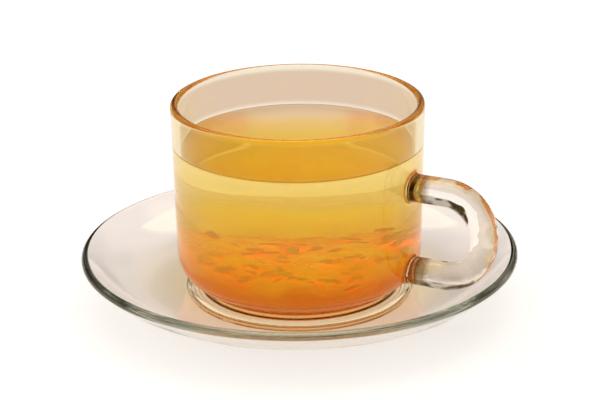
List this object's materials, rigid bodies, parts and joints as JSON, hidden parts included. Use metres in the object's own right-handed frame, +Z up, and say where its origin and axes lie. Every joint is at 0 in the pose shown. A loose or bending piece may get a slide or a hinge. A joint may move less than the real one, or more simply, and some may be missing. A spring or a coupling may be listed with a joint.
{
  "type": "glass cup of tea on its saucer",
  "caption": "Clear glass cup with a D-shaped handle, nearly full of golden tea over a dense orange layer, standing in the well of its round glass saucer.",
  "frame": {"origin": "centre of the saucer's foot ring, on the surface that the saucer stands on", "axes": "+Z up along the axis of cup and saucer; +X towards the handle"},
  "size_m": [0.143, 0.143, 0.0673],
  "materials": {
    "saucer_glass": "clear pressed glass, smooth and glossy",
    "cup_glass": "clear pressed glass, smooth and glossy",
    "orange_pulp": "cloudy orange drink with strands of fruit",
    "golden_tea": "clear golden tea"
  },
  "bodies": {
    "root": {"saucer": "saucer_glass", "cup": "cup_glass", "pulp_layer": "orange_pulp", "tea": "golden_tea"}
  },
  "joints": []
}
